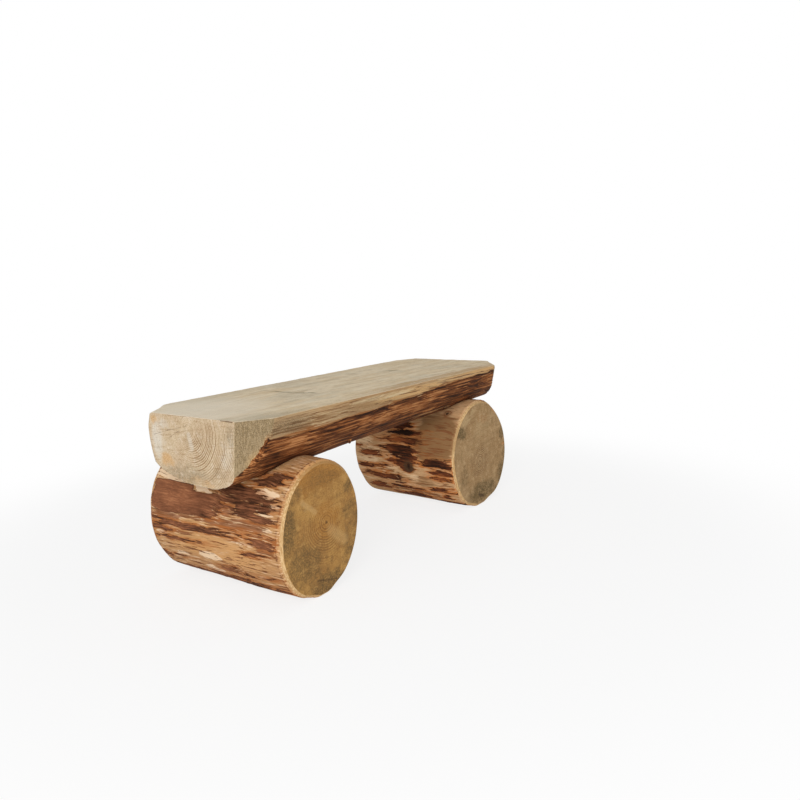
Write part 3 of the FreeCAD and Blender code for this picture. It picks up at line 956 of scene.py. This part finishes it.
def leg_log(name, marks, side, ends):
    """One leg log: skin, caps, relief and fields, bored for its screws."""
    x, half_length, seed = (marks[key] for key in ("x", "half_length", "seed"))
    stations = half_length * (1 - 2 * clustered(LEG_ROWS, 0.45))
    turns = np.linspace(0, 2 * math.pi, LEG_COLUMNS, endpoint=False)
    way = np.stack([-np.sin(turns), np.zeros(LEG_COLUMNS), np.cos(turns)], -1)
    outward = np.broadcast_to(way, (LEG_ROWS, LEG_COLUMNS, 3))
    middle = (x, 0, LEG_CENTRE_Z)
    bores = [(x, BORE_RADIUS * BORE_MARGIN)]
    grid = cast_skin(node_tree(name), 1, middle, stations, outward, bores)
    normals = skin_normals(grid)
    shape = grid.shape[:2]

    # Coordinates on the log in millimetres: from the back end, and round from
    # the crown towards -X
    along = np.broadcast_to(((marks["from_y"] - stations) / MM)[:, None], shape)
    turned = (turns + math.pi) % (2 * math.pi) - math.pi
    around = np.broadcast_to((turned * marks["radius"] / MM)[None], shape)
    ragged = noise(grid, (0.007, 0.07, 0.007), seed)
    wander = noise(grid, (0.02, 0.03, 0.02), seed + 10)
    shifted = along + 17 * ragged
    crossed = around + 2.2 * wander
    ranges = (0, 2 * half_length / MM), (-500, 0), (18, 70), (4, 15)
    hidden = random_patches(seed, HIDDEN_PATCHES, *ranges)
    depth = ovals(shifted, crossed, marks["bark"] + hidden, 2.6)
    sheets = ovals(along + 6 * ragged, around + 0.8 * wander, marks["sheets"], 9.0)
    depth = np.maximum(depth, sheets)
    depth = np.minimum(depth, -ovals(shifted, crossed, marks["bare"]))
    rim = (half_length - np.abs(stations)) / MM
    depth = np.minimum(depth, (rim - marks["margin"])[:, None])
    under_foot = smooth(grid[..., 2], 0.004, 0.001)
    depth = depth * (1 - under_foot) - 8 * under_foot

    relief = 1.5 * smooth(depth, -0.6, 1.4)
    relief += 0.45 * noise(grid, (0.006, 0.05, 0.006), seed + 20) * (0.5 + smooth(depth, 0, 2))
    relief += 1.3 * noise(grid, (0.05, 0.16, 0.05), seed + 30, 2)
    relief *= smooth(rim, 0, 9)[:, None] * 0.85 + 0.15
    relief = np.where(gap_to_seat(grid) < 4, np.minimum(relief, 0), relief)
    relief *= 1 - under_foot
    skin = grid + normals * (relief * MM)[..., None]
    skin[..., 2] = np.maximum(skin[..., 2], 0)

    log = Log(skin, 1, middle, half_length, LEG_CAP_RINGS, 0.03, seed + 40, 0.1, 0.4)
    dark, light, film, calm = (
        washes(along, around, marks[key]) for key in ("tones", "light", "film", "calm")
    )
    rim_line = (marks["rim_line"] * smooth(rim, 10, 13) * smooth(rim, 18, 14))[:, None]
    fields = {
        "bark": depth,
        "tone": 0.45 + dark - light,
        "calm": np.minimum(calm, 1),
        "cut": np.broadcast_to(smooth(rim, 6.5, 5.0)[:, None], shape),
        "film": film + rim_line,
    }
    for key in TINTS:
        fields[key] = washes(along + 10 * ragged, around + 4 * wander, marks[key])
    fields = log.fields(fields, end_fields(log, 0, marks["ends"], 0.2, seed + 50, 9))
    piece = log_piece(
        name + "_skin", log, fields, [side, ends, ends],
        [0, 2], [(0.49, 0.0), (0.49, 0.40)], LEG_SHEET,
    )
    bore_holes(piece, x, marks["bore_top"], side)
    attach(piece, "root")
    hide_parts(name)


def end_fields(log, across, tints, least, seed, sway):
    """Fields of the sawn ends. Patches are placed in millimetres across and up,
    and the clearness of the rings is at least the given value."""
    across, up = log.points[:, across] / MM, log.points[:, 2] / MM
    bend = noise(log.points, (0.02, 0.02, 0.02), seed) * sway
    fields = {key: washes(across + bend, up + bend, tints[key]) for key in TINTS}
    fields["rings"] = np.maximum(washes(across, up, tints["rings"]), least)
    return fields


def gap_to_seat(grid):
    """Distance in millimetres from the points of a leg's crown to the seat."""
    tree = node_tree("seat_log")
    gap = np.full(grid.shape[:2], 99.0)
    for row, column in zip(*np.nonzero(grid[..., 2] > CROWN_Z)):
        point = Vector(grid[row, column])
        gap[row, column] = (point - tree.find_nearest(point)[0]).length / MM
    return gap


def bore_holes(piece, x, top, side):
    """Cuts the two counterbores into the foot of a leg."""
    turns = np.linspace(0, 2 * math.pi, BORE_CORNERS, endpoint=False)
    for y in (-SCREW_Y, SCREW_Y):
        ring = np.stack([x + BORE_RADIUS * np.cos(turns), y + BORE_RADIUS * np.sin(turns)], -1)
        points = [(*place, z) for z in (-0.02, top) for place in ring]
        faces = [tuple(range(BORE_CORNERS))[::-1], tuple(range(BORE_CORNERS, 2 * BORE_CORNERS))]
        aside = 0.15 * (y > 0)
        flat = [(u - x + 0.515, v - y + 0.83 + aside) for u, v in ring]
        flat = flat[::-1] + flat
        for index in range(BORE_CORNERS):
            following = (index + 1) % BORE_CORNERS
            above = following + BORE_CORNERS, index + BORE_CORNERS
            faces.append((index, following, *above))
            for u, v in ((0, 0), (1, 0), (1, 1), (0, 1)):
                flat.append((0.56 + 0.003 * (index + u), 0.80 + aside + 0.11 * v))
        mesh = bpy.data.meshes.new("cutter")
        mesh.from_pydata(points, [], faces)
        mesh.materials.append(side)
        layer = mesh.uv_layers.new(name="OFBake")
        layer.uv.foreach_set("vector", (np.array(flat) / LEG_SHEET).ravel())
        cutter = placed("cutter", mesh)
        modifier = piece.modifiers.new("bore", "BOOLEAN")
        modifier.operation = "DIFFERENCE"
        modifier.solver = "EXACT"
        modifier.object = cutter
        bpy.context.view_layer.update()
        graph = bpy.context.evaluated_depsgraph_get()
        cut = bpy.data.meshes.new_from_object(piece.evaluated_get(graph))
        piece.modifiers.clear()
        piece.data = cut
        bpy.data.objects.remove(cutter)


leg_log("left_leg_log", LEFT_MARKS, left_side, left_end)
leg_log("right_leg_log", RIGHT_MARKS, right_side, right_end)


# Seat log

# Where the bark of the front ends below the hewn band, and where it begins
# beside the sawn near corner, as points of two lines in metres
BAND_X = (-0.59, -0.54, -0.50, -0.45, -0.38, -0.30, -0.20, -0.08, 0.06, 0.20, 0.304, 0.59)
BAND_Z = (0.412, 0.410, 0.4075, 0.404, 0.407, 0.411, 0.414, 0.417, 0.421, 0.433, 0.438, 0.440)
CORNER_Z = (0.300, 0.312, 0.328, 0.351, 0.386, 0.416, 0.440, 0.460)
CORNER_X = (-0.600, -0.598, -0.589, -0.566, -0.547, -0.537, -0.515, -0.480)
SWELL = 0.010  # of the near back corner
SPLINTER = 9  # height in millimetres, then its place along and across the seat
SPLINTER_ALONG = 398
SPLINTER_ACROSS = -148

# Patches on the front by distance from the near end and height, and on the top
# by distance from the near end and Y, in millimetres
SEAT_FRONT = {
    "tones": [(180, 335, 120, 30, 0.45), (900, 395, 320, 30, 0.15), (600, 340, 560, 30, 0.2)],
    "light": [
        (140, 390, 90, 14, 0.40), (420, 388, 120, 14, 0.15), (620, 396, 180, 14, 0.22),
        (450, 384, 110, 18, 0.25),
    ],
    "gold": [(640, 440, 340, 20, 0.8), (1000, 448, 340, 14, 1.0), (50, 355, 44, 50, 0.8)],
    "mould": [(90, 434, 170, 30, 0.75), (400, 430, 260, 30, 0.35)],
    # (820, 444): paler hewn band along the far part, partly painted light against its shade.
    "pale": [(480, 446, 190, 12, 0.7), (820, 444, 300, 9, 0.35)],
    "film": [(200, 428, 220, 24, 0.6), (820, 438, 380, 16, 0.32)],
}
SEAT_TOP_TINTS = {
    "gold": [(760, -220, 640, 90, 0.62)],
    "mould": [(90, -200, 170, 70, 0.45), (10, -120, 40, 30, 0.3), (760, -225, 640, 100, 0.3)],
    "pale": [(40, 40, 320, 260, 0.75)],
    "marks": [(369, 60, 7, 110, 1.0, 2), (384, -20, 10, 50, 1.1, 4), (852, 40, 10, 64, 1.1, 4)],
}
SEAT_END_TINTS = {
    "rings": [(-80, 380, 130, 110, 1.7)],
    "pale": [(94, 433, 36, 22, 0.5), (-130, 380, 40, 80, 0.45, 20), (124, 395, 44, 76, 0.65)],
    "gold": [
        (128, 440, 20, 26, 0.6), (93, 345, 34, 32, 0.7), (-18, 308, 40, 20, 0.5),
        (-60, 300, 30, 12, 0.5), (0, 300, 130, 26, 0.4),
    ],
    "mould": [
        (-150, 430, 50, 44, 0.5), (124, 378, 16, 16, 0.4), (-90, 335, 40, 22, 0.4),
        (20, 316, 130, 36, 0.6), (0, 400, 60, 40, 0.12),
    ],
}


def seat_turns(tree, stations):
    """Angles round the seat's middle line for each ring of points, so that both
    long arrises fall on a line of points."""
    edges = np.zeros((SEAT_ROWS, 2))
    for row, x in enumerate(np.clip(stations, -SEAT_HALF + INSET, SEAT_HALF - INSET)):
        for index, end in enumerate((-1, 1)):
            centre = Vector((x, 0, SEAT_TOP - 2 * INSET))
            edges[row, index] = struck(tree, centre, Vector((0, end, 0)))[0].y
    drop = SEAT_TOP - SEAT_CENTRE_Z
    shares = np.linspace(0, 1, TOP_COLUMNS, endpoint=False)
    ease = 0.5 - 0.5 * np.cos(shares * math.pi)
    shares = shares * 0.75 + ease * 0.25
    top_y = edges[:, 1:] + (edges[:, :1] - edges[:, 1:]) * shares
    front_turn = np.arctan2(-edges[:, 0], drop)
    back_turn = 2 * math.pi + np.arctan2(-edges[:, 1], drop)
    middle = SEAT_ROWS // 3
    probe = np.linspace(front_turn[middle], back_turn[middle], 400)
    centre = Vector((stations[middle], 0, SEAT_CENTRE_Z))
    headings = [Vector((0, -math.sin(turn), math.cos(turn))) for turn in probe]
    outline = np.array([struck(tree, centre, heading)[0].yz for heading in headings])
    lengths = np.append(0, np.cumsum(np.linalg.norm(np.diff(outline, axis=0), axis=1)))
    even = np.interp(np.linspace(0, lengths[-1], LOW_COLUMNS, endpoint=False), lengths, probe)
    part = (even - probe[0]) / (probe[-1] - probe[0])
    low_turn = front_turn[:, None] + (back_turn - front_turn)[:, None] * part
    return np.concatenate([np.arctan2(-top_y, drop), low_turn], 1)


def seat_log():
    """The seat: skin, caps, relief and fields."""
    stations = SEAT_HALF * (2 * clustered(SEAT_ROWS, 0.5) - 1)
    tree = node_tree("seat_log")
    turns = seat_turns(tree, stations)
    outward = np.stack([np.zeros_like(turns), -np.sin(turns), np.cos(turns)], -1)
    middle = (0, 0, SEAT_CENTRE_Z)
    bores = [(leg_x, PILOT_RADIUS) for leg_x in (LEFT_LEG_X, RIGHT_LEG_X)]
    grid = cast_skin(tree, 0, middle, stations, outward, bores)
    x, y, z = np.moveaxis(grid, -1, 0)
    near_back = smooth(-x, 0.48, 0.535) * smooth(y, 0.10, 0.14)
    low_corner = smooth(-x, 0.52, 0.56) * smooth(-z, -0.37, -0.34)
    far_front = smooth(x, 0.36, 0.46) * smooth(-y, 0.13, 0.16) * smooth(z, 0.385, 0.405)
    rounded = np.maximum(near_back, np.maximum(low_corner, far_front))[..., None]
    grid = grid * (1 - rounded) + softened(grid, 14) * rounded
    x, y, z = np.moveaxis(grid, -1, 0)
    y += SWELL * smooth(z, 0.315, 0.385) * smooth(-z, -0.462, -0.420) * near_back
    normals = skin_normals(grid)

    along, across, height = (x + SEAT_HALF) / MM, y / MM, z / MM
    on_top = np.broadcast_to(np.arange(x.shape[1]) < TOP_COLUMNS, x.shape)
    front = y < 0
    band = np.interp(x, BAND_X, BAND_Z) / MM
    ragged = noise(grid, (0.09, 0.012, 0.012), 41)
    depth = band - height + 2.5 * ragged
    under_band = 0.22 * smooth(depth, -1, 1) * smooth(depth, 7, 3)
    depth = np.where(on_top, -40, depth)
    cut = smooth(np.abs(normals[..., 0]), 0.12, 0.35)
    near_end = smooth(SEAT_HALF - np.abs(x), 0.13, 0.12)
    bark_start = np.interp(z, CORNER_Z, CORNER_X) + 0.003 * noise(grid, (0.02, 0.02, 0.01), 50)
    bark_side = smooth(x - bark_start, -0.001, 0.003) * (x < -0.40) * front
    cut = cut * near_end * (1 - bark_side)
    depth = depth * (1 - cut) - 25 * cut
    bare_under = random_patches(5, 22, (60, 1120), (-150, 150), (40, 150), (4, 14))
    under = ovals(along + 14 * ragged, across, bare_under, 2.4)
    depth = np.minimum(depth, np.where(smooth(height, 360, 340) > 0.5, -under, 60))

    relief = 1.3 * smooth(depth, -1.0, 1.6)
    relief += 0.8 * noise(grid, (0.13, 0.006, 0.006), 43) * smooth(depth, -1, 3)
    relief += 1.2 * noise(grid, (0.22, 0.05, 0.05), 44, 2) * (1 - on_top * 0.75)
    relief += 0.35 * noise(grid, (0.02, 0.02, 0.02), 45) * (1 - smooth(depth, -1, 1))
    relief += 0.25 * noise(grid, (0.02, 0.12, 0.02), 46) * on_top
    splinter = ((along - SPLINTER_ALONG) / 5) ** 2 + ((across - SPLINTER_ACROSS) / 6) ** 2
    relief += SPLINTER * np.exp(-splinter) * front * ~on_top
    relief -= on_top * 0.4
    skin = grid + normals * (relief * MM)[..., None]

    log = Log(skin, 0, middle, -SEAT_HALF, SEAT_CAP_RINGS, 0.025, 47, 0.15, 0.5)
    facing = np.where(front, height, 900)
    seen = {key: washes(along, facing, patches) for key, patches in SEAT_FRONT.items()}
    for key in ("pale", "film"):
        seen[key] = seen[key] * ~on_top
    wander = noise(grid, (0.03, 0.02, 0.02), 48)
    sway = {"gold": 6, "mould": 5, "pale": 0}
    mark = washes(along + 5 * wander, across, SEAT_TOP_TINTS["marks"])
    fields = {
        "bark": depth,
        "tone": 0.5 + seen["tones"] - seen["light"] + under_band,
        "calm": np.zeros(x.shape),
        "cut": cut,
        "film": seen["film"],
        "mark": mark * on_top,
    }
    for key in TINTS:
        above = washes(along, across + sway[key] * wander, SEAT_TOP_TINTS[key])
        fields[key] = np.maximum(above * on_top, seen[key])
    fields = log.fields(fields, end_fields(log, 1, SEAT_END_TINTS, 0.4, 49, 8))
    piece = log_piece(
        "seat_log_skin", log, fields, [seat_side, seat_end, seat_end, seat_top],
        [1, 2], [(0.0, 1.14), (0.5, 1.14)], SEAT_SHEET, TOP_COLUMNS,
    )
    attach(piece, "root")
    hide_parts("seat_log")


seat_log()

for node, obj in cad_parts.items():
    if node.endswith(("_screw", "_washer")):
        obj.data.materials.clear()
        obj.data.materials.append(steel)


# Studio


def floor_material():
    """Pale floor whose far parts fade to plain white for the camera."""
    s = Shader("floor")
    far = s.step(s.vector("LENGTH", s.place()), 0.7, 1.9)
    path = s.add("LightPath")
    seen = s.math("MAXIMUM", path.outputs["Is Camera Ray"], path.outputs["Is Glossy Ray"])
    seen = s.math("MAXIMUM", seen, path.outputs["Is Transmission Ray"])
    s.surface.inputs["Base Color"].default_value = (0.95, 0.95, 0.95, 1)
    s.surface.inputs["Roughness"].default_value = 1.0
    s.surface.inputs["Specular IOR Level"].default_value = 0.0
    glow = s.add("Emission", (1, 1, 1, 1), 1.0)
    share = s.times(s.step(far, 0.0, 1.0, 0.8, 1.0), seen)
    mix = s.add("MixShader", share, s.surface.outputs[0], glow.outputs[0])
    s.links.new(mix.outputs[0], s.nodes["Material Output"].inputs["Surface"])
    return s.material


mesh = bpy.data.meshes.new("floor")
corners = [(x * FLOOR_HALF, y * FLOOR_HALF, 0) for x, y in ((-1, -1), (1, -1), (1, 1), (-1, 1))]
mesh.from_pydata(corners, [], [(0, 1, 2, 3)])
floor = placed("floor", mesh)
floor.location.z = -FLOOR_DROP
floor.data.materials.append(floor_material())

# Soft light from all round, and plain white for the camera
world = bpy.data.worlds.new("studio")
bpy.context.scene.world = world
world.use_nodes = True
world.node_tree.nodes.clear()
sky = Graph(world.node_tree)
path = sky.add("LightPath")
seen = sky.math("MAXIMUM", path.outputs["Is Camera Ray"], path.outputs["Is Glossy Ray"])
light = sky.add("Background", None, 0.6)
white = sky.add("Background", (1, 1, 1, 1))
mix = sky.add("MixShader", seen, light.outputs[0], white.outputs[0])
sky.add("OutputWorld", mix.outputs[0])


def area_light(name, place, size, watts):
    """Round lamp aimed at the middle of the bench."""
    lamp = bpy.data.lights.new(name, "AREA")
    lamp.shape = "DISK"
    lamp.size = size
    lamp.energy = watts
    obj = placed(name, lamp)
    obj.location = place
    aim = LIGHT_TARGET - Vector(place)
    obj.rotation_euler = aim.to_track_quat("-Z", "Y").to_euler()


area_light("key", (-4.6, -2.9, 2.9), 3.2, 152)
area_light("fill", (-3.2, -3.4, 0.8), 1.6, 44)


# Camera

turn = Matrix.Rotation(-CAMERA_YAW, 4, "Z")
turn = turn @ Matrix.Rotation(math.pi / 2 - CAMERA_PITCH, 4, "X")
turn = turn @ Matrix.Rotation(-CAMERA_ROLL, 4, "Z")
camera_data = bpy.data.cameras.new("camera")
camera_data.sensor_width = SENSOR_MM
camera_data.lens = FOCAL_PIXELS / FRAME_PIXELS * SENSOR_MM
camera = placed("camera", camera_data)
camera.matrix_world = Matrix.Translation(CAMERA_PLACE) @ turn
bpy.context.scene.camera = camera
bpy.context.scene.view_settings.view_transform = "Standard"
